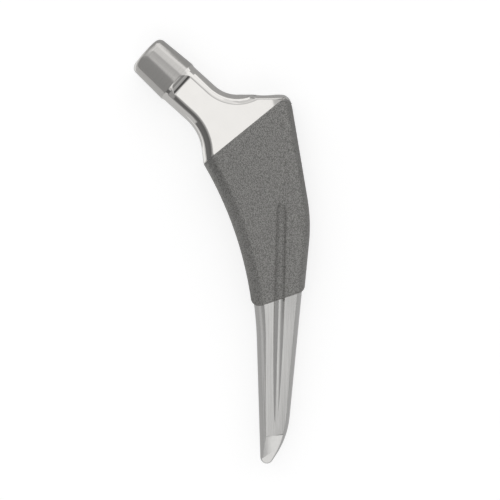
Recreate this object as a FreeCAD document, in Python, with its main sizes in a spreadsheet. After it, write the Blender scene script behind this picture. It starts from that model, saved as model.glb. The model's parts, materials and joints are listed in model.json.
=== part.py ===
import FreeCAD, Part
import math
import os

import Sketcher
from FreeCAD import Placement, Rotation, Vector

# Cementless hip stem of the tapered wedge kind, lying on its back face.
# It is drawn in its own middle plane: +X is lateral, +Y runs up the stem to the shoulder, and +Z is
# the front face. The neck axis and the line of the stem meet at the drawing's zero point.
# At the end both pieces are moved so that the part rests on z = 0, centred on its footprint.

# Driving sizes in millimetres and degrees
SIZES = [
    ("neck_slope_angle", 42.2, "neck axis above the horizontal"),
    ("taper_reach", 43.2, "zero point to the base of the head taper, along the neck"),
    ("taper_base_radius", 7.0, "head taper at its base"),
    ("taper_length", 12.9, "head taper from its base to its end face"),
    ("taper_included_angle", 5.667, "head taper, both sides together"),
    ("taper_rim_radius", 2.0, "rounding at the end face"),
    ("centre_radius", 1.25, "lathe centre in the end face"),
    ("centre_included_angle", 60.0, "lathe centre, both sides together"),
    ("neck_radius", 6.73, "round neck, and the crown of the inner edge below it"),
    ("base_bevel", 1.0, "length of the bevel from taper to neck"),
    ("flat_depth", 1.08, "flat faces below the round of the neck"),
    ("flat_start", 2.85, "taper base to where the neck flats are level"),
    ("superior_radius", 10.0, "flare between neck and shoulder"),
    ("superior_lead_angle", 45.0, "how far that flare's crown runs on over the shoulder, as a turn"),
    ("shoulder_height", 24.95, "top of the shoulder above the zero point"),
    ("shoulder_radius", 3.1, "outer corner of the shoulder"),
    ("shoulder_side_length", 0.1, "straight side below that corner, down to the lip"),
    ("shoulder_inset", 0.15, "outer side of the shoulder inside the coating's line"),
    ("shoulder_lip", 0.15, "thickness in which the shoulder ends beside the coating's corner"),
    ("outer_crown_radius", 11.5, "crown of the outer edge, shoulder and tip, front to back"),
    ("calcar_radius", 14.3, "flare between neck and calcar"),
    ("calcar_lean_angle", 6.5, "calcar wall off the vertical"),
    ("medial_offset", 9.18, "inner edge of the distal stem, inward of the zero point"),
    ("medial_lean_angle", 1.7, "inner edge of the distal stem off the vertical"),
    ("medial_curve_radius", 112.9, "long inner curve of the forging"),
    ("medial_curve_end", 49.65, "depth at which the inner curve runs straight"),
    ("apex_offset", 8.85, "widest point of the outer edge, outward of the zero point"),
    ("apex_depth", 13.3, "depth of that point below zero"),
    ("apex_radius", 50.6, "rounding at the widest point"),
    ("lateral_flare_angle", 9.54, "outer edge above the widest point, off the vertical"),
    ("lateral_taper_angle", 5.6, "outer edge below the widest point, off the vertical"),
    ("tip_facet_depth", 79.0, "depth where the outer edge turns in to the tip"),
    ("tip_facet_lean_angle", 33.0, "relieved outer edge of the tip, off the vertical"),
    ("tip_facet_radius", 24.5, "rounding between outer edge and relieved tip"),
    ("nose_radius", 2.0, "rounded end of the tip"),
    ("thinning_depth", 37.6, "depth where the faces start to thin"),
    ("thinning_angle", 1.4, "lean of each face below that depth"),
    ("thinning_skew_angle", 7.5, "turn of the thinning and bevel lines in the middle plane"),
    ("bevel_depth", 78.0, "depth of the tip bevel's upper line"),
    ("bevel_angle", 14.0, "lean of each face of the tip bevel"),
    ("relief_angle", 3.5, "lean of the outer strip of each face"),
    ("relief_offset", 1.94, "inner side of that strip, inward of the zero point"),
    ("relief_lean_angle", 4.0, "the same line off the vertical"),
    ("slot_radius", 1.9, "round cutter of the long slots"),
    ("slot_depth", 0.92, "slots below the face at full thickness"),
    ("slot_offset", 0.18, "upper end of the slots, inward of the zero point"),
    ("slot_top_depth", 9.78, "upper end of the slots below the zero point"),
    ("slot_lean_angle", 1.54, "slots off the vertical"),
    ("coating_thickness", 0.75, "porous titanium, standing proud of the forging"),
    ("coating_top_slope_angle", 39.1, "upper coating edge above the horizontal"),
    ("coating_top_radius", 2.4, "coating corner at the shoulder"),
    ("coating_end_depth", 36.94, "lower coating edge below the zero point"),
    ("coating_end_slope_angle", 18.5, "lower coating edge above the horizontal"),
    ("coating_end_radius", 2.45, "coating corners at its lower end"),
    ("inserter_offset", 5.5, "inserter hole, inward of the zero point"),
    ("inserter_radius", 2.5, "inserter hole, tapping size"),
    ("inserter_depth", 11.0, "inserter hole, full diameter"),
    ("inserter_countersink", 0.7, "bevel round the hole's mouth"),
]

# Working allowances that leave no mark on the part: how far a cutting shape stands clear of the
# metal, runs on past the end of an edge, and is wider than what it cuts; how far a crown's cut
# passes the flat faces; how far the inner plate stays below the shoulder's top; and how much of
# the round neck the flared plate takes in before the first flare
CLEAR = 3.0
RUN_ON = 9.0
WIDE = 4
OVERCUT = 0.3
UNDERLAP = 1.2
NECK_JOIN = 0.3

# Usual lean of a drill's point
DRILL_POINT_ANGLE = 31.0

FRONT = Vector(0, 0, 1)

doc = FreeCAD.newDocument("hip_stem")
sizes = doc.addObject("Spreadsheet::Sheet", "sizes")
for row, (alias, value, note) in enumerate(SIZES, start=1):
    sizes.set("A%d" % row, alias)
    sizes.set("B%d" % row, str(value))
    sizes.set("C%d" % row, note)
    sizes.setAlias("B%d" % row, alias)
doc.recompute()


def size(*aliases):
    """The sum of the sheet's cells of those names."""
    return sum(float(sizes.get(alias)) for alias in aliases)


def bound(*aliases):
    """The same sum as an expression for a property."""
    return " + ".join("sizes." + alias for alias in aliases)


# Geometry in the middle plane. Outlines run with the metal on their left.
def heading(angle):
    """Unit vector at an angle in degrees from +X."""
    return Vector(math.cos(math.radians(angle)), math.sin(math.radians(angle)), 0)


def left_of(direction):
    """The direction a quarter turn to the left."""
    return Vector(-direction.y, direction.x, 0)


def meet(point, direction, other, other_direction):
    """Where two lines cross."""
    side = left_of(other_direction)
    return point + direction * ((other - point).dot(side) / direction.dot(side))


class Run:
    """One stretch of an outline, straight, or round about its centre."""

    def __init__(self, start, end, centre=None):
        self.start = start
        self.end = end
        self.centre = centre

    def radius(self):
        return (self.start - self.centre).Length

    def turn(self):
        """Turn of a round run in degrees, positive to the left."""
        first = self.start - self.centre
        last = self.end - self.centre
        return math.degrees(math.atan2(first.cross(last).z, first.dot(last)))

    def edge(self):
        if self.centre is None:
            return Part.LineSegment(self.start, self.end)
        halfway = Rotation(FRONT, self.turn() / 2).multVec(self.start - self.centre)
        return Part.Arc(self.start, self.centre + halfway, self.end)


def rounded(before, corner, after, radius):
    """The round run that joins the lines before-corner and corner-after."""
    back = (before - corner).normalize()
    onward = (after - corner).normalize()
    half_angle = back.getAngle(onward) / 2
    length = radius / math.tan(half_angle)
    centre = corner + (back + onward).normalize() * (radius / math.sin(half_angle))
    return Run(corner + back * length, corner + onward * length, centre)


def chain(points, radii):
    """Runs through the points, with each inner corner rounded where its radius isn't nought."""
    runs = []
    start = points[0]
    for before, corner, after, radius in zip(points, points[1:], points[2:], radii):
        if radius:
            bend = rounded(before, corner, after, radius)
            runs += [Run(start, bend.start), bend]
            start = bend.end
        else:
            runs.append(Run(start, corner))
            start = corner
    runs.append(Run(start, points[-1]))
    return runs


def closed(*points):
    """Straight runs round the points."""
    return [Run(start, end) for start, end in zip(points, points[1:] + points[:1])]


def flipped(loop):
    """The same loop below the axis across a sketch."""
    def flip(point):
        return point and Vector(point.x, -point.y, 0)

    return [Run(flip(run.start), flip(run.end), flip(run.centre)) for run in loop]


# Sketches and features
def sketch_on(body, name, origin, across, up, loops, radius=None):
    """A sketch in the plane through origin with those axes, held by its corners and radii.

    The round runs that have the radius named by the aliases in radius follow those cells.
    """
    sketch = body.newObject("Sketcher::SketchObject", name)
    plane = [item for item in body.Origin.OriginFeatures if item.Role == "XY_Plane"][0]
    sketch.AttachmentSupport = (plane, "")
    sketch.MapMode = "FlatFace"
    sketch.AttachmentOffset = Placement(origin, Rotation(across, up, across.cross(up), "XYZ"))

    def end_at(edge, point):
        return 1 if sketch.getPoint(edge, 1).isEqual(point, 1e-6) else 2

    for loop in loops:
        edges = [sketch.addGeometry(run.edge(), False) for run in loop]
        for run, edge, following in zip(loop, edges, edges[1:] + edges[:1]):
            begin, end = end_at(edge, run.start), end_at(edge, run.end)
            joined = end_at(following, run.end)
            held = [("Coincident", edge, end, following, joined),
                    ("DistanceX", -1, 1, edge, begin, run.start.x),
                    ("DistanceY", -1, 1, edge, begin, run.start.y)]
            for terms in held:
                sketch.addConstraint(Sketcher.Constraint(*terms))
            if run.centre is not None:
                number = sketch.addConstraint(Sketcher.Constraint("Radius", edge, run.radius()))
                if radius and abs(size(*radius) - run.radius()) < 1e-6:
                    sketch.setExpression("Constraints[%d]" % number, bound(*radius))
    return sketch


def pad(body, name, loop, *thickness):
    """The outline as a plate, its thickness lying evenly about the middle plane."""
    feature = body.newObject("PartDesign::Pad", name)
    feature.Profile = sketch_on(body, name + "_outline", Vector(), heading(0), heading(90), [loop])
    feature.SideType = "Symmetric"
    feature.setExpression("Length", "2 * (" + bound(*thickness) + " - sizes.flat_depth)")
    doc.recompute()


def cut_along(body, name, origin, across, loops, length, radius=None):
    """Cut the loops, drawn across and to the front, evenly to both sides of origin."""
    feature = body.newObject("PartDesign::Pocket", name)
    feature.Profile = sketch_on(body, name + "_section", origin, across, FRONT, loops, radius)
    feature.SideType = "Symmetric"
    feature.Length = length
    doc.recompute()


def turned(body, kind, name, sketch, axis, angle=360.0):
    """Turn the sketch about one of its axes, evenly to both sides of its plane."""
    feature = body.newObject("PartDesign::" + kind, name)
    feature.Profile = sketch
    feature.ReferenceAxis = (sketch, [axis])
    feature.Midplane = angle < 360.0
    feature.Angle = angle
    doc.recompute()


def crown(body, name, run, crown_radius, *layer, lead=0.0, tail=0.0):
    """Crown the narrow side of the plate along one run of its outline.

    The side becomes a round that touches the outline in the middle plane and meets the flat faces
    at an edge. A layer on the plate makes it that much thicker and its crown that much larger.
    The cut starts lead before the run and ends tail after it.
    """
    aliases = (crown_radius,) + layer
    radius = size(*aliases)
    face = half + size(*layer)
    height = (face + min(radius, face + 2 * OVERCUT)) / 2
    back = radius - math.sqrt(radius ** 2 - height ** 2)

    def section(base, out):
        centre = Vector(base - out * radius, 0, 0)
        high = Vector(base - out * back, height, 0)
        low = Vector(base - out * back, -height, 0)
        far = Vector(base + out * CLEAR, 0, 0)
        far_high = far + high - Vector(high.x, 0, 0)
        far_low = far + low - Vector(low.x, 0, 0)
        return [Run(low, high, centre), Run(high, far_high), Run(far_high, far_low),
                Run(far_low, low)]

    if run.centre is None:
        along = (run.end - run.start).normalize()
        start = run.start - along * lead
        end = run.end + along * tail
        cut_along(body, name, (start + end) * 0.5, left_of(along) * -1, [section(0.0, 1)],
                  (end - start).Length, aliases)
        return
    out = math.copysign(1, run.turn())
    lead_turn = out * math.degrees(lead / run.radius())
    whole = run.turn() + lead_turn + out * math.degrees(tail / run.radius())
    spoke = Rotation(FRONT, whole / 2 - lead_turn).multVec(run.start - run.centre).normalize()
    sketch = sketch_on(body, name + "_section", run.centre, spoke, FRONT,
                       [section(run.radius(), out)], aliases)
    turned(body, "Groove", name, sketch, "V_Axis", abs(whole))


# Neck, shoulder and the coated outer edge
half = size("neck_radius") - size("flat_depth")
coat = size("coating_thickness")

neck_out = heading(180 - size("neck_slope_angle"))
taper_base = neck_out * size("taper_reach")
neck_side = left_of(neck_out) * size("neck_radius")

level = heading(0)
apex = Vector(size("apex_offset"), -size("apex_depth"), 0)
flare_line = heading(90 + size("lateral_flare_angle"))
taper_line = heading(90 - size("lateral_taper_angle"))
shoulder_top = Vector(0, size("shoulder_height"), 0)
shoulder_side = apex + left_of(flare_line) * size("shoulder_inset")
shoulder_outer = meet(shoulder_top, level, shoulder_side, flare_line)
shoulder_inner = meet(shoulder_top, level, taper_base - neck_side, neck_out)

# The long inner curve and the coating's edges
medial_line = heading(-90 + size("medial_lean_angle"))
medial_level = Vector(-size("medial_offset"), 0, 0)
curve_end = meet(Vector(0, -size("medial_curve_end"), 0), level, medial_level, medial_line)
curve_centre = curve_end - left_of(medial_line) * size("medial_curve_radius")


def on_curve(point, direction, radius):
    """Where a line that runs outward meets the circle of that radius about the curve's centre."""
    foot = meet(point, direction, curve_centre, left_of(direction))
    return foot + direction * math.sqrt(radius ** 2 - (foot - curve_centre).Length ** 2)


# The shoulder's side ends in a thin lip beside the coating's upper corner, which is round about
# a centre that the lip gives, and the coating's upper edge runs from there to the inner curve
shoulder_bend = rounded(shoulder_side, shoulder_outer, shoulder_inner, size("shoulder_radius"))
lip_outer = shoulder_bend.start - flare_line * size("shoulder_side_length")
lip_inner = lip_outer + left_of(flare_line) * size("shoulder_lip")
corner_radius = size("coating_top_radius")
lip_spoke = corner_radius - size("shoulder_inset", "shoulder_lip")
lip_rise = math.sqrt(corner_radius ** 2 - lip_spoke ** 2)
corner_centre = lip_inner + left_of(flare_line) * lip_spoke - flare_line * lip_rise

coat_curve_radius = size("medial_curve_radius") - coat
top_line = heading(size("coating_top_slope_angle"))
top_point = corner_centre + left_of(top_line) * corner_radius
calcar = on_curve(top_point, top_line, coat_curve_radius)
top_peak = meet(top_point, top_line, apex, flare_line)
top_corner = rounded(calcar, top_peak, apex, corner_radius)
calcar_bend = meet(calcar, heading(-90 + size("calcar_lean_angle")), taper_base + neck_side, neck_out)

end_line = heading(size("coating_end_slope_angle"))
end_point = Vector(0, -size("coating_end_depth"), 0)
end_radius = size("coating_end_radius")
end_centre = on_curve(end_point + left_of(end_line) * end_radius, end_line,
                      coat_curve_radius + end_radius)
end_inner_start = curve_centre + (end_centre - curve_centre).normalize() * coat_curve_radius
end_inner_end = end_centre - left_of(end_line) * end_radius
end_outer = meet(end_point, end_line, apex, taper_line)

# The forging's line inside the coating and below it
core_side = apex + left_of(flare_line) * coat
core_taper_side = apex + left_of(taper_line) * coat
core_apex = meet(core_side, flare_line, core_taper_side, taper_line)
core_top = shoulder_top - Vector(0, UNDERLAP, 0)
core_top_outer = meet(core_top, level, core_side, flare_line)
core_edge = top_point + left_of(top_line) * coat
core_top_inner = meet(core_top, level, core_edge, top_line)
core_calcar = on_curve(core_edge, top_line, size("medial_curve_radius"))
tip_corner = meet(Vector(0, -size("tip_facet_depth"), 0), level, core_apex, taper_line)
tip_line = heading(90 - size("tip_facet_lean_angle"))
nose_corner = meet(tip_corner, tip_line, curve_end, medial_line)

medial_curve = Run(core_calcar, curve_end, curve_centre)
core_runs = chain(
    [curve_end, nose_corner, tip_corner, core_apex, core_top_outer, core_top_inner, core_calcar],
    [size("nose_radius"), size("tip_facet_radius"), size("apex_radius") - coat, 0, 0])
medial_low, nose, tip_facet, tip_bend, lateral_low, apex_bend, lateral_high = core_runs[:7]

# The flared plate takes in the neck up to just past the flare that starts nearer the taper
upper_flare = rounded(shoulder_outer, shoulder_inner, taper_base - neck_side, size("superior_radius"))
lower_flare = rounded(taper_base + neck_side, calcar_bend, calcar, size("calcar_radius"))
neck_start = neck_out * (max(upper_flare.end.dot(neck_out), lower_flare.start.dot(neck_out))
                         + NECK_JOIN)
neck_length = (taper_base - neck_start).Length

shoulder_runs = chain(
    [lip_outer, shoulder_outer, shoulder_inner, neck_start - neck_side, neck_start + neck_side,
     calcar_bend, calcar, top_corner.start],
    [size("shoulder_radius"), size("superior_radius"), 0, 0, size("calcar_radius"), 0])
shoulder_wall, shoulder_bend, shoulder_flat, superior_bend, neck_upper = shoulder_runs[:5]
neck_lower, calcar_round, calcar_wall = shoulder_runs[6:9]
shoulder_runs += [Run(top_corner.start, lip_inner, top_corner.centre), Run(lip_inner, lip_outer)]


def relieve(body, *layer):
    """Lean back the outer strip of both faces."""
    down = heading(-90 + size("relief_lean_angle"))
    face = half + size(*layer)
    strip = 2 * size("apex_offset") + size("relief_offset")
    drop = strip * math.tan(math.radians(size("relief_angle")))
    loop = closed(Vector(0, face, 0), Vector(strip, face - drop, 0),
                  Vector(strip, face + CLEAR, 0), Vector(0, face + CLEAR, 0))
    top = size("shoulder_height") + CLEAR
    bottom = -size("tip_facet_depth")
    middle = meet(Vector(0, (top + bottom) / 2, 0), level,
                  Vector(-size("relief_offset"), 0, 0), down)
    cut_along(body, "relief", middle, left_of(down), [loop, flipped(loop)], top - bottom)


def slot(body, *layer):
    """Mill a long round slot into both faces, which runs out where the stem gets thin."""
    radius = size("slot_radius")
    down = heading(-90 - size("slot_lean_angle"))
    lift = half + size(*layer) - size("slot_depth") + radius
    length = size("tip_facet_depth") + CLEAR
    for name, side in (("slot_front", 1), ("slot_back", -1)):
        place = Vector(-size("slot_offset"), -size("slot_top_depth"), side * lift)
        loop = [Run(Vector(-radius, 0, 0), Vector(0, radius, 0), Vector())]
        loop += chain([Vector(0, radius, 0), Vector(length, radius, 0), Vector(length, 0, 0),
                       Vector(-radius, 0, 0)], [0, 0])
        sketch = sketch_on(body, name + "_section", place, down, left_of(down), [loop],
                           ("slot_radius",))
        turned(body, "Groove", name, sketch, "H_Axis")


def drill_inserter_hole(body):
    """Sink the inserter's tapping hole, with a bevelled mouth, into the top of the shoulder."""
    bore = size("inserter_radius")
    bevel = size("inserter_countersink")
    depth = size("inserter_depth")
    drill_point = depth + bore * math.tan(math.radians(DRILL_POINT_ANGLE))
    loop = closed(Vector(0, CLEAR, 0), Vector(bore + bevel, CLEAR, 0), Vector(bore + bevel, 0, 0),
                  Vector(bore, -bevel, 0), Vector(bore, -depth, 0), Vector(0, -drill_point, 0))
    place = shoulder_top - level * size("inserter_offset")
    sketch = sketch_on(body, "inserter_profile", place, level, heading(90), [loop])
    turned(body, "Groove", "inserter_hole", sketch, "V_Axis")


# Forging
stem = doc.addObject("PartDesign::Body", "stem_forging")
stem.Label = "stem_forging"

pad(stem, "inner_plate", [medial_curve] + core_runs, "neck_radius")
crown(stem, "medial_curve_crown", medial_curve, "neck_radius", lead=CLEAR)
crown(stem, "medial_crown", medial_low, "neck_radius")
crown(stem, "nose_crown", nose, "outer_crown_radius")
crown(stem, "tip_facet_crown", tip_facet, "outer_crown_radius")
crown(stem, "tip_bend_crown", tip_bend, "outer_crown_radius")
crown(stem, "lateral_low_crown", lateral_low, "outer_crown_radius")
crown(stem, "apex_crown", apex_bend, "outer_crown_radius")
crown(stem, "lateral_high_crown", lateral_high, "outer_crown_radius", tail=CLEAR)

# Both faces thin towards the tip and end in a bevel
across_lines = heading(size("thinning_skew_angle"))
down_lines = left_of(across_lines) * -1
bevel_at = (size("bevel_depth") - size("thinning_depth")) * math.cos(
    math.radians(size("thinning_skew_angle")))
bevel_drop = bevel_at * math.tan(math.radians(size("thinning_angle")))
bevel_run = size("tip_facet_depth") - size("thinning_depth")
end_drop = bevel_drop + bevel_run * math.tan(math.radians(size("bevel_angle")))
thinned = closed(Vector(0, half, 0), Vector(bevel_at, half - bevel_drop, 0),
                 Vector(bevel_at + bevel_run, half - end_drop, 0),
                 Vector(bevel_at + bevel_run, half + CLEAR, 0), Vector(0, half + CLEAR, 0))
cut_along(stem, "thinning", Vector(0, -size("thinning_depth"), 0), down_lines,
          [thinned, flipped(thinned)], WIDE * size("apex_offset", "medial_offset"))

pad(stem, "shoulder_plate", shoulder_runs, "neck_radius")
crown(stem, "shoulder_wall_crown", shoulder_wall, "outer_crown_radius", lead=CLEAR)
crown(stem, "shoulder_bend_crown", shoulder_bend, "outer_crown_radius")
crown(stem, "shoulder_flat_crown", shoulder_flat, "outer_crown_radius")
crown(stem, "superior_crown", superior_bend, "neck_radius",
      lead=superior_bend.radius() * math.radians(size("superior_lead_angle")))
crown(stem, "neck_upper_crown", neck_upper, "neck_radius", tail=CLEAR)
crown(stem, "neck_lower_crown", neck_lower, "neck_radius", lead=CLEAR)
crown(stem, "calcar_round_crown", calcar_round, "neck_radius")
crown(stem, "calcar_wall_crown", calcar_wall, "neck_radius", tail=CLEAR)
relieve(stem)
slot(stem)

# Neck and head taper, turned about the neck axis
taper_end = size("taper_length")
taper_lean = math.tan(math.radians(size("taper_included_angle") / 2))
end_radius_at_face = size("taper_base_radius") - taper_end * taper_lean
centre_depth = size("centre_radius") / math.tan(math.radians(size("centre_included_angle") / 2))
neck_profile = chain(
    [Vector(-neck_length, 0, 0), Vector(-neck_length, size("neck_radius"), 0),
     Vector(-size("base_bevel"), size("neck_radius"), 0), Vector(0, size("taper_base_radius"), 0),
     Vector(taper_end, end_radius_at_face, 0), Vector(taper_end, size("centre_radius"), 0),
     Vector(taper_end - centre_depth, 0, 0), Vector(-neck_length, 0, 0)],
    [0, 0, 0, size("taper_rim_radius"), 0, 0])
neck_sketch = sketch_on(stem, "neck_profile", taper_base, neck_out, left_of(neck_out),
                        [neck_profile], ("taper_rim_radius",))
turned(stem, "Revolution", "neck_and_taper", neck_sketch, "H_Axis")

# Flats milled into the neck, which run out towards the taper's base
ramp_rise = size("taper_base_radius") - half
ramp_radius = (size("flat_start") ** 2 + ramp_rise ** 2) / (2 * ramp_rise)
flat_end = Vector(-size("flat_start"), half, 0)
ramp_end = Vector(0, size("taper_base_radius"), 0)
over = Vector(0, CLEAR, 0)
flat_back = Vector(-neck_length, half, 0)
flat_loop = [Run(flat_end, ramp_end, flat_end + Vector(0, ramp_radius, 0))]
flat_loop += chain([ramp_end, ramp_end + over, flat_back + over * 2, flat_back, flat_end], [0, 0, 0])
cut_along(stem, "neck_flats", taper_base, neck_out, [flat_loop, flipped(flat_loop)],
          WIDE * size("neck_radius"))

drill_inserter_hole(stem)

# Coating: its outer form, less the forging inside it
blank = doc.addObject("PartDesign::Body", "coating_form")
blank.Label = "coating_form"
coat_curve = Run(calcar, end_inner_start, curve_centre)
coat_runs = chain([end_inner_end, end_outer, apex, top_corner.end], [end_radius, size("apex_radius")])
coat_low, coat_apex, coat_high = coat_runs[2:5]
pad(blank, "coating_plate",
    [coat_curve, Run(end_inner_start, end_inner_end, end_centre)] + coat_runs
    + [Run(top_corner.end, top_corner.start, top_corner.centre), Run(top_corner.start, calcar)],
    "neck_radius", "coating_thickness")
for name, run, crown_radius, lead, tail in (
        ("coating_curve_crown", coat_curve, "neck_radius", RUN_ON, RUN_ON),
        ("coating_low_crown", coat_low, "outer_crown_radius", RUN_ON, 0.0),
        ("coating_apex_crown", coat_apex, "outer_crown_radius", 0.0, 0.0),
        ("coating_high_crown", coat_high, "outer_crown_radius", 0.0, RUN_ON)):
    crown(blank, name, run, crown_radius, "coating_thickness", lead=lead, tail=tail)
relieve(blank, "coating_thickness")
slot(blank, "coating_thickness")
drill_inserter_hole(blank)

coating = doc.addObject("Part::Cut", "porous_coating")
coating.Label = "porous_coating"
coating.Base = blank
coating.Tool = stem
doc.recompute()

# Each cut has to take metal away
for body in (stem, blank):
    volume = 0.0
    for feature in body.Group:
        if feature.TypeId in ("PartDesign::Pocket", "PartDesign::Groove"):
            if feature.Shape.Volume > volume - 1e-4:
                raise RuntimeError(feature.Name + " cuts nothing")
        if hasattr(feature, "Shape") and feature.Shape.Solids:
            volume = feature.Shape.Volume

# The part lies on its back face, centred over z = 0
pieces = [stem, coating]
footprint = stem.Shape.optimalBoundingBox(False, False)
for piece in pieces:
    footprint.add(piece.Shape.optimalBoundingBox(False, False))
move = Vector(-footprint.Center.x, -footprint.Center.y, -footprint.ZMin)
for body in (stem, blank):
    body.Placement = Placement(move, Rotation())
doc.recompute()

for item in doc.Objects:
    if "Invalid" in item.State or "Error" in item.State:
        raise RuntimeError(item.Name + " failed: " + str(item.State))
for piece in pieces:
    if piece.Shape.isNull() or not piece.Shape.isValid() or len(piece.Shape.Solids) != 1:
        raise RuntimeError(piece.Label + " is not one valid solid")

os.makedirs("parts", exist_ok=True)
for piece in pieces:
    piece.Shape.exportStep("parts/" + piece.Label + ".step")
    box = piece.Shape.optimalBoundingBox(False, False)
    print("%s: %.2f x %.2f x %.2f mm, %.1f mm3" % (
        piece.Label, box.XLength, box.YLength, box.ZLength, piece.Shape.Volume))
print("zero point at", move)
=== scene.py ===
"""Looks of a cementless hip stem: polished neck, turned head taper, sprayed coating, ground tip.

Everything is in metres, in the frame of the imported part. The stem lies on its back face with its
front face up, +Y runs up the stem to the shoulder and +X points to its outer side.
"""

import json
import logging
import math
from dataclasses import dataclass, field
from enum import Enum

import bmesh
import bpy
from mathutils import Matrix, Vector, noise


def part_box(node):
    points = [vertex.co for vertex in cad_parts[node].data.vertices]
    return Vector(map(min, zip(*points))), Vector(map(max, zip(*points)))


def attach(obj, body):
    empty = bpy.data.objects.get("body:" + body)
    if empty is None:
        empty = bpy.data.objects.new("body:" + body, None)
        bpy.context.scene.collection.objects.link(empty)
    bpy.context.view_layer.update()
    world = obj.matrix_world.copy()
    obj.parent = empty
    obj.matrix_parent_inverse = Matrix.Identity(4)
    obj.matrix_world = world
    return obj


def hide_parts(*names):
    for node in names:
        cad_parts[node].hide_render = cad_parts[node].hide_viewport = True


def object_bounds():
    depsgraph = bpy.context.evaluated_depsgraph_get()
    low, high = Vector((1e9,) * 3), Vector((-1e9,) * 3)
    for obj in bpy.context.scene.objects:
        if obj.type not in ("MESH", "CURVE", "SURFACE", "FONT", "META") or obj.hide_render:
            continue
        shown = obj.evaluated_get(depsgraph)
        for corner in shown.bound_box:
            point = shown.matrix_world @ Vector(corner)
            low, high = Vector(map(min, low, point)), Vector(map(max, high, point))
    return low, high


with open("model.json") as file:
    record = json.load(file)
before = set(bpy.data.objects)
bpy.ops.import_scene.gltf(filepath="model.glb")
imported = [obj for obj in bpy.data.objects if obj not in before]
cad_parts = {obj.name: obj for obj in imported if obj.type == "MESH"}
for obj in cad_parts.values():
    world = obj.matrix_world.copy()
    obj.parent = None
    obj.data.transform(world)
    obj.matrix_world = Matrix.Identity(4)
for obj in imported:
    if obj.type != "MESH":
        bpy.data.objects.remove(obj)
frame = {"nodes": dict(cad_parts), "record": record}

CAD_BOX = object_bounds()
MM = 0.001
WHITE = (1.0, 1.0, 1.0, 1.0)

# The one body of a part that has no joints
BODY = "root"

log = logging.getLogger("hip_stem")


def linear(hex_colour: str) -> tuple[float, float, float, float]:
    """Turn a colour as written on screen into the renderer's linear one.

    Args:
        hex_colour: sRGB colour such as "#BEBBB6".

    Returns:
        Linear red, green and blue, with alpha 1.
    """
    # The sRGB curve, which is straight near black
    channels = [int(hex_colour[i:i + 2], 16) / 255 for i in (1, 3, 5)]
    red, green, blue = (
        c / 12.92 if c <= 0.04045 else ((c + 0.055) / 1.055) ** 2.4 for c in channels)
    return red, green, blue, 1.0


def add(tree: bpy.types.NodeTree, kind: str, settings: dict | None = None,
        links: dict | None = None) -> bpy.types.Node:
    """Add a node with its settings and links.

    Args:
        tree: The tree that it goes in.
        kind: Blender's name of the node.
        settings: Values for its own properties, or for its sockets by name or number. A Mix
            node goes by number: 2 and 3 are its two values, and 6 and 7 its two colours.
        links: Output sockets to link, by the name or number of the input.

    Returns:
        The new node.
    """
    node = tree.nodes.new(kind)
    for key, value in (settings or {}).items():
        if isinstance(key, str) and hasattr(node, key):
            setattr(node, key, value)
        else:
            node.inputs[key].default_value = value
    for key, socket in (links or {}).items():
        tree.links.new(socket, node.inputs[key])
    return node


def new_tree(owner: bpy.types.Material | bpy.types.World) -> bpy.types.NodeTree:
    """Give a material or world an empty node tree.

    Args:
        owner: What the tree belongs to.

    Returns:
        The empty tree.
    """
    owner.use_nodes = True
    owner.node_tree.nodes.clear()
    return owner.node_tree


@dataclass(frozen=True)
class Mount:
    """A place of the part where something fastens to it, as its record gives it.

    Attributes:
        place: Its middle.
        axis: The way it points.
        bore: Radius of its hole, or nought.
    """

    place: Vector
    axis: Vector
    bore: float

    @classmethod
    def named(cls, name: str) -> "Mount":
        """Read a mount from the record.

        Args:
            name: Its name there.

        Returns:
            The mount, in metres.
        """
        row = next(mount for mount in frame["record"]["mounts"] if mount["name"] == name)
        return cls(Vector(row["pos_m"]), Vector(row["axis"]).normalized(),
                   row["dims"].get("r_mm", 0.0) * MM)

    def reach(self, point: Vector) -> float:
        """How far along the axis a point lies."""
        return (point - self.place).dot(self.axis)

    def off_axis(self, point: Vector) -> float:
        """How far from the axis a point lies."""
        return ((point - self.place) - self.axis * self.reach(point)).length


HEAD_TAPER = Mount.named("head_taper")
INSERTER_HOLE = Mount.named("inserter_hole")

# Height up the stem that the coating hides, where the polished metal gives way to the ground
FINISH_CHANGE = sum(corner.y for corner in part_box("porous_coating")) / 2


class Lay(Enum):
    """The way that the tool marks in a surface run."""

    NONE = "polished out"
    ROUND = "round the neck's axis"
    LENGTHWISE = "along the stem"


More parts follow.
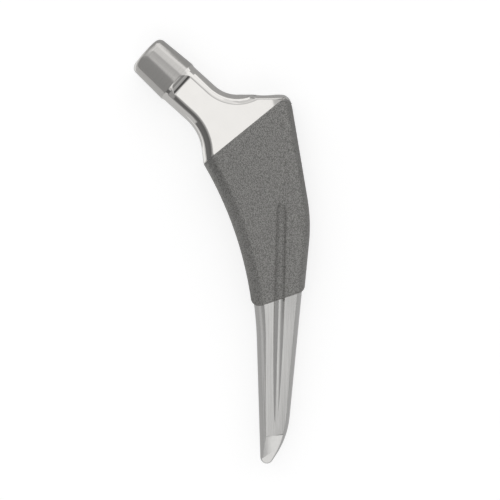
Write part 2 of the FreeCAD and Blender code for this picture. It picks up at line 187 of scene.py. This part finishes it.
@dataclass(frozen=True)
class WroughtTitanium:
    """Ti-6Al-4V with one of the surfaces that it is given on this stem.

    Attributes:
        name: Name of the material, for the metal and how its surface was made.
        colour: What the bare metal reflects.
        roughness: Spread of the reflection, from 0 for a mirror.
        roughness_spread: How much the roughness varies over the surface.
        lay: The way that the tool marks run.
        mark_mm: Spacing of the tool marks.
        mark_length_mm: How long one mark is.
        mark_height_mm: How deep the marks are.
        tone: How much darker the marks are than the rest, as a share.
        anisotropy: How much further the reflection spreads across the marks than along them.
        edge_mm: How far the finishing softened the edges, to each side.
    """

    UV_ACROSS = "across_marks"

    # Finer layers drawn over the grooves of turning and over the scratches of grinding
    GROOVE_DETAIL = 2.0
    SCRATCH_DETAIL = 3.0

    # Directions that the softening of an edge looks in
    EDGE_SAMPLES = 8

    name: str
    colour: str
    roughness: float
    roughness_spread: float
    lay: Lay
    mark_mm: float
    mark_length_mm: float
    mark_height_mm: float
    tone: float
    anisotropy: float = 0.0
    edge_mm: float = 0.3

    def marks(self, tree: bpy.types.NodeTree) -> bpy.types.NodeSocket:
        """Draw the tool marks.

        Args:
            tree: The material's nodes.

        Returns:
            Socket with the marks as a height from 0 to 1.
        """
        place = add(tree, "ShaderNodeTexCoord").outputs["Object"]
        if self.lay is Lay.ROUND:
            along = add(tree, "ShaderNodeVectorMath",
                        {"operation": "DOT_PRODUCT", 1: HEAD_TAPER.axis}, {0: place})
            return add(tree, "ShaderNodeTexNoise",
                       {"noise_dimensions": "1D", "Scale": 1 / (self.mark_mm * MM),
                        "Detail": self.GROOVE_DETAIL},
                       {"W": along.outputs["Value"]}).outputs["Fac"]
        across, length = 1 / (self.mark_mm * MM), 1 / (self.mark_length_mm * MM)
        stretched = add(tree, "ShaderNodeMapping", {"Scale": (across, length, across)},
                        {"Vector": place})
        return add(tree, "ShaderNodeTexNoise", {"Scale": 1.0, "Detail": self.SCRATCH_DETAIL},
                   {"Vector": stretched.outputs["Vector"]}).outputs["Fac"]

    def material(self) -> bpy.types.Material:
        """Make the material.

        Returns:
            The material, whose marks vary its tone, gloss and relief.
        """
        made = bpy.data.materials.new(self.name)
        tree = new_tree(made)
        marks = self.marks(tree)
        metal = linear(self.colour)
        darker = tuple(channel * (1 - self.tone) for channel in metal[:3]) + (1.0,)
        tone = add(tree, "ShaderNodeMix", {"data_type": "RGBA", 6: darker, 7: metal}, {0: marks})
        rough = add(tree, "ShaderNodeMapRange", {
            "To Min": self.roughness + self.roughness_spread,
            "To Max": self.roughness - self.roughness_spread}, {"Value": marks})
        edges = add(tree, "ShaderNodeBevel",
                    {"samples": self.EDGE_SAMPLES, "Radius": self.edge_mm * MM})
        bump = add(tree, "ShaderNodeBump", {"Distance": self.mark_height_mm * MM},
                   {"Height": marks, "Normal": edges.outputs["Normal"]})
        shader = add(tree, "ShaderNodeBsdfPrincipled",
                     {"Metallic": 1.0, "Anisotropic": self.anisotropy},
                     {"Base Color": tone.outputs[2], "Roughness": rough.outputs["Result"],
                      "Normal": bump.outputs["Normal"]})
        if self.anisotropy:
            grain = add(tree, "ShaderNodeTangent",
                        {"direction_type": "UV_MAP", "uv_map": self.UV_ACROSS})
            tree.links.new(grain.outputs["Tangent"], shader.inputs["Tangent"])
        add(tree, "ShaderNodeOutputMaterial", links={"Surface": shader.outputs["BSDF"]})
        return made


# Buffed on a soft wheel to a mirror: the flats show the light over them as one even pale field, and
# the round sides as crisp bands. A faint haze is left where the wheel pulled, a few mm across.
POLISHED = WroughtTitanium(
    "titanium_buffed_to_mirror", "#DAD8D5", roughness=0.07, roughness_spread=0.02, lay=Lay.NONE,
    mark_mm=3.0, mark_length_mm=3.0, mark_height_mm=0.0015, tone=0.03)

# Turned and left as cut, which spreads what it mirrors along the neck's axis: grey bands with
# straight sides. Its grooves are 0.1 mm apart, drawn at 0.35 mm so that they show.
TURNED = WroughtTitanium(
    "titanium_fine_turned", "#C9C7C4", roughness=0.2, roughness_spread=0.05, lay=Lay.ROUND,
    mark_mm=0.35, mark_length_mm=0.35, mark_height_mm=0.004, tone=0.12, anisotropy=0.6,
    edge_mm=0.2)

# Ground along the stem with a fine belt: satin, with soft borders between its faces and thin
# lengthwise streaks. The scratches are 0.05 mm apart, drawn at 0.4 mm so that they show.
GROUND = WroughtTitanium(
    "titanium_belt_ground_satin", "#D6D5D3", roughness=0.2, roughness_spread=0.04,
    lay=Lay.LENGTHWISE, mark_mm=0.4, mark_length_mm=28.0, mark_height_mm=0.006, tone=0.1,
    anisotropy=0.5, edge_mm=0.15)

# Drilled: a dull grey that is dark inside, because little light gets in
BORED = WroughtTitanium(
    "titanium_bored", "#B5B3B0", roughness=0.3, roughness_spread=0.06, lay=Lay.NONE,
    mark_mm=0.3, mark_length_mm=0.3, mark_height_mm=0.004, tone=0.1)


@dataclass(frozen=True)
class SprayedTitanium:
    """Pure titanium powder, melted in a plasma flame and thrown on: grains with pores between.

    Attributes:
        name: Name of the material, for the metal and how its surface was made.
        grain_colour: The grains' tops.
        pore_shade_colour: The pores between them, darker as painted shade in the hollows.
        grain_mm: Width of one grain. Real ones are 0.1 to 0.3 mm, and only the widest would show.
        grain_blend: How far neighbouring grains run together, from 0 to 1.
        pore_at: Where a pore is deepest, in grain widths from the middle of a grain.
        top_at: How far the top of a grain reaches from its middle, in grain widths.
        cluster_mm: Width of the patches where the grains lie thicker.
        cluster_share: How much such a patch adds or takes, as a share of a grain's height.
        grain_height_mm: How far the grains stand out.
        roughness: Spread of the reflection of the grains.
        pore_roughness: How much more the pores spread it.
        top_gloss: How much less the tops of the grains do.
    """

    # Most of a noise texture's values lie between these
    NOISE_LOW = 0.3
    NOISE_HIGH = 0.7

    # Finer layers drawn over the patches, and how strong each is beside the one before
    CLUSTER_DETAIL = 4.0
    CLUSTER_FINENESS = 0.7

    name: str = "titanium_plasma_sprayed_porous"
    grain_colour: str = "#B4B3B0"
    pore_shade_colour: str = "#8A8987"
    grain_mm: float = 0.3
    grain_blend: float = 0.35
    pore_at: float = 0.75
    top_at: float = 0.1
    cluster_mm: float = 0.7
    cluster_share: float = 0.3
    grain_height_mm: float = 0.06
    roughness: float = 0.55
    pore_roughness: float = 0.15
    top_gloss: float = 0.05

    def level(self, tree: bpy.types.NodeTree) -> bpy.types.NodeSocket:
        """Draw the grains.

        Args:
            tree: The material's nodes.

        Returns:
            Socket with the level, from 0 in a pore to 1 on top of a grain.
        """
        place = add(tree, "ShaderNodeTexCoord").outputs["Object"]
        grains = add(tree, "ShaderNodeTexVoronoi",
                     {"feature": "SMOOTH_F1", "Scale": 1 / (self.grain_mm * MM),
                      "Smoothness": self.grain_blend}, {"Vector": place})
        clusters = add(tree, "ShaderNodeTexNoise",
                       {"Scale": 1 / (self.cluster_mm * MM), "Detail": self.CLUSTER_DETAIL,
                        "Roughness": self.CLUSTER_FINENESS}, {"Vector": place})
        height = add(tree, "ShaderNodeMapRange", {"From Min": self.pore_at, "From Max": self.top_at},
                     {"Value": grains.outputs["Distance"]})
        thick = add(tree, "ShaderNodeMapRange", {
            "From Min": self.NOISE_LOW, "From Max": self.NOISE_HIGH,
            "To Min": -self.cluster_share, "To Max": self.cluster_share},
            {"Value": clusters.outputs["Fac"]})
        return add(tree, "ShaderNodeMath", {"operation": "ADD", "use_clamp": True},
                   {0: height.outputs["Result"], 1: thick.outputs["Result"]}).outputs[0]

    def material(self) -> bpy.types.Material:
        """Make the material.

        Returns:
            The material, with round grains, pores painted dark as shade, and thicker patches.
        """
        made = bpy.data.materials.new(self.name)
        tree = new_tree(made)
        level = self.level(tree)
        # Pores painted darker than the grains' tops: painted shade in the hollows
        tone = add(tree, "ShaderNodeMix", {"data_type": "RGBA", 6: linear(self.pore_shade_colour),
                                           7: linear(self.grain_colour)}, {0: level})
        rough = add(tree, "ShaderNodeMapRange", {"To Min": self.roughness + self.pore_roughness,
                                                 "To Max": self.roughness - self.top_gloss},
                    {"Value": level})
        bump = add(tree, "ShaderNodeBump", {"Distance": self.grain_height_mm * MM},
                   {"Height": level})
        shader = add(tree, "ShaderNodeBsdfPrincipled", {"Metallic": 1.0},
                     {"Base Color": tone.outputs[2], "Roughness": rough.outputs["Result"],
                      "Normal": bump.outputs["Normal"]})
        add(tree, "ShaderNodeOutputMaterial", links={"Surface": shader.outputs["BSDF"]})
        return made


def place_piece(name: str, mesh: bpy.types.Mesh, node: str) -> bpy.types.Object:
    """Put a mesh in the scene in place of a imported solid.

    Args:
        name: Name of the piece.
        mesh: Its shape, where it belongs.
        node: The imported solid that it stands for.

    Returns:
        The piece.
    """
    piece = bpy.data.objects.new(name, mesh)
    bpy.context.scene.collection.objects.link(piece)
    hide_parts(node)
    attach(piece, BODY)
    return piece


class Zone(Enum):
    """The stretches of the forging, each with the finish that it was given."""

    NECK = POLISHED
    TAPER = TURNED
    TIP = GROUND
    HOLE = BORED

    @property
    def number(self) -> int:
        """Number of the zone's material on the forging."""
        return list(Zone).index(self)


@dataclass
class StemForging:
    """Forging in one piece: head taper, neck, shoulder, the core inside the coating, and the tip.

    Attributes:
        weld_mm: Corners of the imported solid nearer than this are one.
        same_plane_degrees: Faces within this angle are one flat face.
        short_edge_mm: Edges shorter than this are closed up.
        beside_mm: A corner this near the line of an edge is on the same crease.
        recess_mm: How far down the neck from the taper the small recess of its flat reaches.
        edge_degrees: An edge sharper than this is one that the finishing rounded.
        buffed_edge_mm: Rounding of the edges of the neck and shoulder, at each side of the edge.
        turned_edge_mm: Rounding at the base and the end of the head taper.
        ground_edge_mm: Rounding of the edges of the tip.
        edge_steps: Steps across a rounded edge.
        hole_clear_mm: How far round the inserter's hole its own finish goes.
    """

    NODE = "stem_forging"

    weld_mm: float = 0.002
    same_plane_degrees: float = 0.05
    short_edge_mm: float = 0.03
    beside_mm: float = 0.02
    recess_mm: float = 3.3
    edge_degrees: float = 10.5
    buffed_edge_mm: float = 0.35
    turned_edge_mm: float = 0.15
    ground_edge_mm: float = 0.12
    edge_steps: int = 3
    hole_clear_mm: float = 0.05

    def zone(self, point: Vector) -> Zone:
        """Find which stretch of the forging a point is in.

        Args:
            point: A point on its surface.

        Returns:
            The stretch.
        """
        if HEAD_TAPER.reach(point) > 0:
            return Zone.TAPER
        if (INSERTER_HOLE.off_axis(point) < INSERTER_HOLE.bore + self.hole_clear_mm * MM
                and point.y > INSERTER_HOLE.place.y / 2):
            return Zone.HOLE
        return Zone.NECK if point.y > FINISH_CHANGE else Zone.TIP

    def is_crease(self, edge: bmesh.types.BMEdge) -> bool:
        """Whether an edge is one that the finishing rounded, and not a line in a curved face."""
        return edge.calc_face_angle() > math.radians(self.edge_degrees)

    def edge_rounding(self, edge: bmesh.types.BMEdge) -> float:
        """How far an edge is rounded to each side, in millimetres.

        Args:
            edge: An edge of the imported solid.

        Returns:
            The rounding, or nought where the material alone softens the edge.
        """
        zones = {self.zone(face.calc_center_median()) for face in edge.link_faces}
        reach = HEAD_TAPER.reach((edge.verts[0].co + edge.verts[1].co) / 2)
        if (Zone.HOLE in zones or not self.is_crease(edge)
                or -self.recess_mm * MM < reach < self.turned_edge_mm * MM):
            return 0.0
        if Zone.NECK in zones and Zone.TAPER not in zones:
            return self.buffed_edge_mm
        wanted = self.turned_edge_mm if Zone.TAPER in zones else self.ground_edge_mm
        return wanted if self.room_beside(edge) > wanted * MM else 0.0

    def room_beside(self, edge: bmesh.types.BMEdge) -> float:
        """Measure the room for a rounding beside an edge.

        Args:
            edge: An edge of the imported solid.

        Returns:
            How wide the narrower of its two faces is, in metres.
        """
        start, end = (vertex.co for vertex in edge.verts)
        way = (end - start).normalized()
        offsets = [corner.co - start for face in edge.link_faces for corner in face.verts
                   if corner not in edge.verts]
        widths = ((offset - way * offset.dot(way)).length for offset in offsets)
        return min((width for width in widths if width > self.beside_mm * MM), default=0.0)

    def whole_faces(self) -> bmesh.types.BMesh:
        """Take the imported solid's surface, with each flat face whole.

        Returns:
            The surface, cut where the polished metal gives way to the ground.
        """
        shape = bmesh.new()
        shape.from_mesh(frame["nodes"][self.NODE].data)
        bmesh.ops.remove_doubles(shape, verts=shape.verts, dist=self.weld_mm * MM)
        bmesh.ops.dissolve_limit(shape, angle_limit=math.radians(self.same_plane_degrees),
                                 verts=shape.verts, edges=shape.edges)
        bmesh.ops.dissolve_degenerate(shape, dist=self.short_edge_mm * MM, edges=shape.edges)
        bmesh.ops.bisect_plane(shape, geom=shape.verts[:] + shape.edges[:] + shape.faces[:],
                               plane_co=(0.0, FINISH_CHANGE, 0.0), plane_no=(0.0, 1.0, 0.0))
        return shape

    def mark_edges(self, shape: bmesh.types.BMesh) -> None:
        """Give each edge its rounding, as a share of the widest, and keep the others crisp.

        Args:
            shape: The forging's surface.
        """
        rounding = shape.edges.layers.float.new("bevel_weight_edge")
        for edge in shape.edges:
            wide = self.edge_rounding(edge)
            edge[rounding] = wide / self.buffed_edge_mm
            edge.smooth = wide > 0 or not self.is_crease(edge)

    def mark_faces(self, shape: bmesh.types.BMesh) -> None:
        """Give each face its finish, and the way across the tool marks in it.

        Args:
            shape: The forging's surface.
        """
        across = shape.loops.layers.uv.new(WroughtTitanium.UV_ACROSS)
        for face in shape.faces:
            face.smooth = True
            zone = self.zone(face.calc_center_median())
            face.material_index = zone.number
            for corner in face.loops:
                place = corner.vert.co
                reach = HEAD_TAPER.reach(place)
                corner[across].uv = (reach, place.z) if zone is Zone.TAPER else (place.x, place.y)

    def mesh(self) -> bpy.types.Mesh:
        """Make the forging's mesh, with its finishes and edges marked.

        Returns:
            The mesh, with a material number for each face and a rounding for each edge.
        """
        shape = self.whole_faces()
        self.mark_edges(shape)
        self.mark_faces(shape)
        mesh = bpy.data.meshes.new(self.NODE)
        shape.to_mesh(mesh)
        shape.free()
        return mesh

    def build(self) -> bpy.types.Object:
        """Build the forging with its edges rounded and its finishes on.

        Returns:
            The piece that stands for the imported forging.
        """
        piece = place_piece("forging", self.mesh(), self.NODE)
        for zone in Zone:
            piece.data.materials.append(zone.value.material())
        rounded = piece.modifiers.new("rounded_edges", "BEVEL")
        rounded.width = self.buffed_edge_mm * MM
        rounded.segments = self.edge_steps
        rounded.limit_method = "WEIGHT"
        rounded.use_clamp_overlap = False
        level = piece.modifiers.new("level_faces", "WEIGHTED_NORMAL")
        level.keep_sharp = True
        return piece


@dataclass
class PorousCoating:
    """Coating sprayed round the upper stem, with real lumps as well as drawn grains.

    Attributes:
        weld_mm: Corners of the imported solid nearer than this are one.
        voxel_mm: Size of the mesh, and how far its rims and corners are rounded.
        lump_mm: Width of one lump of grains.
        lump_height_mm: How far the hollows between lumps go in.
    """

    NODE = "porous_coating"

    weld_mm: float = 0.002
    voxel_mm: float = 0.32
    lump_mm: float = 0.6
    lump_height_mm: float = 0.03

    def mesh(self) -> bpy.types.Mesh:
        """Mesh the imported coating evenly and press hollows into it, so it never grows.

        Returns:
            The mesh.
        """
        source = bpy.data.objects.new("coating_source", frame["nodes"][self.NODE].data.copy())
        bpy.context.scene.collection.objects.link(source)
        weld = source.modifiers.new("weld", "WELD")
        weld.merge_threshold = self.weld_mm * MM
        even = source.modifiers.new("even_mesh", "REMESH")
        even.mode = "VOXEL"
        even.voxel_size = self.voxel_mm * MM
        graph = bpy.context.evaluated_depsgraph_get()
        mesh = bpy.data.meshes.new_from_object(source.evaluated_get(graph))
        bpy.data.objects.remove(source)
        scale = 1 / (self.lump_mm * MM)
        pressed = [vertex.co - vertex.normal * self.hollow(vertex.co * scale)
                   for vertex in mesh.vertices]
        mesh.vertices.foreach_set("co", [value for corner in pressed for value in corner])
        mesh.shade_smooth()
        mesh.update()
        return mesh

    def hollow(self, place: Vector) -> float:
        """How far the surface is pressed in at a place given in lump widths."""
        distances, _ = noise.voronoi(place)
        return min(distances[0], 1.0) * self.lump_height_mm * MM

    def build(self) -> bpy.types.Object:
        """Build the coating.

        Returns:
            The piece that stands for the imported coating.
        """
        piece = place_piece("coating", self.mesh(), self.NODE)
        piece.data.materials.clear()
        piece.data.materials.append(SprayedTitanium().material())
        return piece


@dataclass(frozen=True)
class Softbox:
    """One soft patch of light in the studio, or a dark flag, far off in one direction.

    Attributes:
        azimuth: Compass place of its middle in degrees, from +X towards +Y.
        polar: Angle of its middle from straight up, in degrees.
        width: Half its width, across, in degrees.
        height: Half its height, up and down, in degrees.
        soft: Width of its soft edge in degrees.
        light: Strength that it adds, negative for a dark flag.
    """

    azimuth: float
    polar: float
    width: float
    height: float
    soft: float
    light: float

    def axes(self) -> tuple[Vector, Vector, Vector]:
        """Work out which way the patch faces.

        Returns:
            Directions to its middle, across it and along its height.
        """
        azimuth, polar = math.radians(self.azimuth), math.radians(self.polar)
        middle = Vector((math.sin(polar) * math.cos(azimuth), math.sin(polar) * math.sin(azimuth),
                         math.cos(polar)))
        across = Vector((-math.sin(azimuth), math.cos(azimuth), 0.0))
        return middle, across, middle.cross(across)

    def add_to(self, tree: bpy.types.NodeTree, direction: bpy.types.NodeSocket,
               total: bpy.types.NodeSocket) -> bpy.types.NodeSocket:
        """Add the patch's light to a running total.

        Args:
            tree: The world's nodes.
            direction: Socket with the direction looked in.
            total: Socket with the light so far.

        Returns:
            Socket with the light and this patch.
        """
        middle, across, up = self.axes()
        ahead = add(tree, "ShaderNodeVectorMath", {"operation": "DOT_PRODUCT", 1: middle},
                    {0: direction})
        mask = add(tree, "ShaderNodeMath", {"operation": "GREATER_THAN", 1: 0.0},
                   {0: ahead.outputs["Value"]}).outputs[0]
        for axis, half in ((across, self.width), (up, self.height)):
            aside = add(tree, "ShaderNodeVectorMath", {"operation": "DOT_PRODUCT", 1: axis},
                        {0: direction})
            turn = add(tree, "ShaderNodeMath", {"operation": "ARCTAN2"},
                       {0: aside.outputs["Value"], 1: ahead.outputs["Value"]})
            far = add(tree, "ShaderNodeMath", {"operation": "ABSOLUTE"}, {0: turn.outputs[0]})
            edge = add(tree, "ShaderNodeMapRange", {
                "interpolation_type": "SMOOTHSTEP",
                "From Min": math.radians(half + self.soft / 2),
                "From Max": math.radians(max(half - self.soft / 2, 0.0))},
                {"Value": far.outputs[0]})
            mask = add(tree, "ShaderNodeMath", {"operation": "MULTIPLY"},
                       {0: mask, 1: edge.outputs["Result"]}).outputs[0]
        return add(tree, "ShaderNodeMath", {"operation": "MULTIPLY_ADD", 1: self.light},
                   {0: mask, 2: total}).outputs[0]


@dataclass(frozen=True)
class PaintedReflection:
    """Painted reflection: a glowing sheet that only the metal shows, so the picture's floor stays
    plain.

    Attributes:
        name: Name of the card.
        low: Its lowest corner in the stem's frame, in millimetres.
        high: Its highest corner. The card is flat, so one of the three places is the same.
        light: How bright it glows in the metal, where 1 is white.
    """

    name: str
    low: tuple[float, float, float]
    high: tuple[float, float, float]
    light: float

    def build(self) -> None:
        """Stand the sheet in the studio, where only reflections in the metal show it."""
        low, high = Vector(self.low) * MM, Vector(self.high) * MM
        flat = min(range(3), key=lambda axis: high[axis] - low[axis])
        first, second = (axis for axis in range(3) if axis != flat)
        corners = [low.copy() for _ in range(4)]
        corners[1][first] = corners[2][first] = high[first]
        corners[2][second] = corners[3][second] = high[second]
        mesh = bpy.data.meshes.new(self.name)
        mesh.from_pydata(corners, [], [(0, 1, 2, 3)])
        mesh.materials.append(self.material())
        card = bpy.data.objects.new(self.name, mesh)
        bpy.context.scene.collection.objects.link(card)
        card.visible_camera = False
        card.visible_diffuse = False
        card.visible_shadow = False
        card.visible_transmission = False

    def material(self) -> bpy.types.Material:
        """Make the sheet's even glow, a painted reflection that only the metal shows.

        Returns:
            The card's material.
        """
        made = bpy.data.materials.new(self.name)
        tree = new_tree(made)
        # Painted reflection: an even glow, dark or white, that only the metal shows
        tone = add(tree, "ShaderNodeEmission", {"Color": WHITE, "Strength": self.light})
        add(tree, "ShaderNodeOutputMaterial", links={"Surface": tone.outputs["Emission"]})
        return made


@dataclass
class Studio:
    """Plain pale floor, soft light from all round and the camera above the stem.

    Attributes:
        room: Light of the room all round.
        softboxes: Patches of light and dark flags in it.
        reflection_cards: Painted reflections, glowing sheets by the stem that only the metal shows.
        view_width_mm: What the picture spans across, at the stem's middle plane.
        view_centre_mm: Middle of the picture in the stem's frame.
        lens_mm: Long lens, which keeps the taper's far side out of sight.
        sensor_mm: Width of the camera's sensor.
        floor_mm: Half the width of the floor.
        floor_glow: Light that the floor shows to the eye, whatever falls on it.
        floor_glint: The same in the metal and through glass, on the calcar's side of the neck.
        floor_glint_far: The same on the shoulder's side of the neck.
        glint_fade_mm: How far from the neck's axis the one gives way to the other.
        floor_colour: Paint of the floor, which takes the stem's shadow.
    """

    room: float = 0.62
    softboxes: list[Softbox] = field(default_factory=lambda: [
        # Over the flats
        Softbox(azimuth=90, polar=0, width=4, height=8, soft=3, light=0.52),
        Softbox(azimuth=130, polar=35, width=30, height=34, soft=16, light=0.14),
        # Beside the shoulder, for the upper side of the taper and neck
        Softbox(azimuth=55, polar=64, width=32, height=26, soft=8, light=0.42),
        Softbox(azimuth=40, polar=79, width=32, height=8, soft=5, light=0.2),
        Softbox(azimuth=106, polar=66, width=18, height=24, soft=8, light=0.2),
        # Beyond the tip, for its bevel
        Softbox(azimuth=272, polar=31, width=15, height=11, soft=5, light=0.46),
        Softbox(azimuth=250, polar=47, width=11, height=8, soft=5, light=0.4),
        # Dark flags for the ramp of the recess in the neck's flat
        Softbox(azimuth=320, polar=19, width=7, height=11, soft=5, light=-0.36),
        Softbox(azimuth=320, polar=68, width=13, height=12, soft=5, light=-0.3),
        # Dark flags for the inner and the outer side of the body
        Softbox(azimuth=180, polar=62, width=20, height=34, soft=12, light=-0.2),
        Softbox(azimuth=0, polar=55, width=30, height=42, soft=16, light=-0.2),
    ])
    reflection_cards: list[PaintedReflection] = field(default_factory=lambda: [
        # Painted dark reflections, for the dark bands in the taper, the neck and the calcar
        PaintedReflection("painted_grey_reflection", low=(-45, -8, 8), high=(-45, 70, 130), light=0.39),
        PaintedReflection("painted_dark_reflection", low=(-28, -20, 12.5), high=(-28, 33, 30), light=0.16),
        PaintedReflection("painted_dark_reflection_at_calcar", low=(-16, 12, 6.5), high=(-16, 33.2, 12.5), light=0.18),
        # Painted shade in the round sides of the tip, from a grey sheet on the floor that only the
        # metal shows
        PaintedReflection("painted_grey_reflection_at_tip", low=(-30, -75, 0.05), high=(60, -12, 0.05), light=0.5),
        # Painted highlights: white lines along the taper, the shoulder, the neck and the taper's
        # lower side
        PaintedReflection("painted_highlight_strip", low=(-22, 100, 0), high=(11, 100, 14), light=1.25),
        PaintedReflection("painted_highlight_strip_at_shoulder", low=(5, 70, 6.2), high=(32, 70, 12.3), light=1.25),
        PaintedReflection("painted_highlight_strip_at_neck", low=(-22, 15, 0.1), high=(-10, 31, 0.1), light=1.1),
        PaintedReflection("painted_highlight_strip_at_taper", low=(-44, 50, 0.1), high=(-31, 76, 0.1), light=1.1),
    ])
    view_width_mm: float = 151.85
    view_centre_mm: tuple[float, float] = (8.54, 0.47)
    lens_mm: float = 200.0
    sensor_mm: float = 36.0
    floor_mm: float = 5000.0
    floor_glow: float = 0.68
    floor_glint: float = 0.34
    floor_glint_far: float = 0.13
    glint_fade_mm: float = 10.0
    floor_colour: str = "#BCBCBC"

    def light_room(self) -> None:
        """Light the room from all round, with a plain white wall for the eye."""
        world = bpy.data.worlds.new("studio")
        tree = new_tree(world)
        direction = add(tree, "ShaderNodeTexCoord").outputs["Generated"]
        total = add(tree, "ShaderNodeValue").outputs["Value"]
        total.default_value = self.room
        for softbox in self.softboxes:
            total = softbox.add_to(tree, direction, total)
        path = add(tree, "ShaderNodeLightPath")
        shown = add(tree, "ShaderNodeMix", {"data_type": "FLOAT", 3: 1.0},
                    {0: path.outputs["Is Camera Ray"], 2: total})
        light = add(tree, "ShaderNodeBackground", {"Color": WHITE}, {"Strength": shown.outputs[0]})
        add(tree, "ShaderNodeOutputWorld", links={"Surface": light.outputs["Background"]})
        bpy.context.scene.world = world

    def lay_floor(self) -> None:
        """Lay the pale floor that the stem rests on."""
        half = self.floor_mm * MM
        level = CAD_BOX[0].z
        mesh = bpy.data.meshes.new("floor")
        mesh.from_pydata([(-half, -half, level), (half, -half, level), (half, half, level),
                          (-half, half, level)], [], [(0, 1, 2, 3)])
        floor = bpy.data.objects.new("floor", mesh)
        bpy.context.scene.collection.objects.link(floor)
        mesh.materials.append(self.floor_material())

    def glint(self, tree: bpy.types.NodeTree,
              path: bpy.types.Node) -> bpy.types.NodeSocket:
        """Work out how light the floor is in the metal, from one side of the neck to the other.

        Args:
            tree: The floor's nodes.
            path: Its Light Path node.

        Returns:
            Socket with the light, which is nought for the eye.
        """
        mirrored = add(tree, "ShaderNodeMath", {"operation": "ADD"},
                       {0: path.outputs["Is Glossy Ray"], 1: path.outputs["Is Transmission Ray"]})
        side = HEAD_TAPER.axis.cross(Vector((0.0, 0.0, 1.0)))
        place = add(tree, "ShaderNodeNewGeometry").outputs["Position"]
        beside = add(tree, "ShaderNodeVectorMath", {"operation": "DOT_PRODUCT", 1: side}, {0: place})
        middle = HEAD_TAPER.place.dot(side)
        fade = self.glint_fade_mm * MM
        by_side = add(tree, "ShaderNodeMapRange", {
            "From Min": middle - fade, "From Max": middle + fade,
            "To Min": self.floor_glint, "To Max": self.floor_glint_far},
            {"Value": beside.outputs["Value"]})
        return add(tree, "ShaderNodeMath", {"operation": "MULTIPLY"},
                   {0: mirrored.outputs[0], 1: by_side.outputs["Result"]}).outputs[0]

    def floor_material(self) -> bpy.types.Material:
        """Make white card that glows to the eye and in reflections, and still takes a shadow.

        Returns:
            The floor's material.
        """
        made = bpy.data.materials.new("white_card")
        tree = new_tree(made)
        path = add(tree, "ShaderNodeLightPath")
        glow = add(tree, "ShaderNodeMath", {"operation": "MULTIPLY_ADD", 1: self.floor_glow},
                   {0: path.outputs["Is Camera Ray"], 2: self.glint(tree, path)})
        paint = add(tree, "ShaderNodeBsdfDiffuse", {"Color": linear(self.floor_colour)})
        light = add(tree, "ShaderNodeEmission", links={"Strength": glow.outputs[0]})
        both = add(tree, "ShaderNodeAddShader",
                   links={0: paint.outputs["BSDF"], 1: light.outputs["Emission"]})
        add(tree, "ShaderNodeOutputMaterial", links={"Surface": both.outputs["Shader"]})
        return made

    def set_camera(self) -> None:
        """Hang the camera straight above the stem, as the picture was taken."""
        data = bpy.data.cameras.new("camera")
        data.lens = self.lens_mm
        data.sensor_width = self.sensor_mm
        camera = bpy.data.objects.new("camera", data)
        bpy.context.scene.collection.objects.link(camera)
        middle = (CAD_BOX[0].z + CAD_BOX[1].z) / 2
        distance = self.view_width_mm * MM * self.lens_mm / self.sensor_mm
        camera.location = (self.view_centre_mm[0] * MM, self.view_centre_mm[1] * MM,
                           middle + distance)
        bpy.context.scene.camera = camera

    def build(self) -> None:
        """Set up the room, floor and camera."""
        bpy.context.scene.view_settings.view_transform = "Standard"
        self.light_room()
        self.lay_floor()
        for card in self.reflection_cards:
            card.build()
        self.set_camera()


def main() -> None:
    """Build the studio and the stem's two pieces in order, and report each."""
    logging.basicConfig(level=logging.INFO, format="%(name)s: %(message)s")
    Studio().build()
    log.info("studio ready")
    for part in (StemForging(), PorousCoating()):
        piece = part.build()
        log.info("%s: %d faces before modifiers", piece.name, len(piece.data.polygons))


if __name__ == "__main__":
    main()
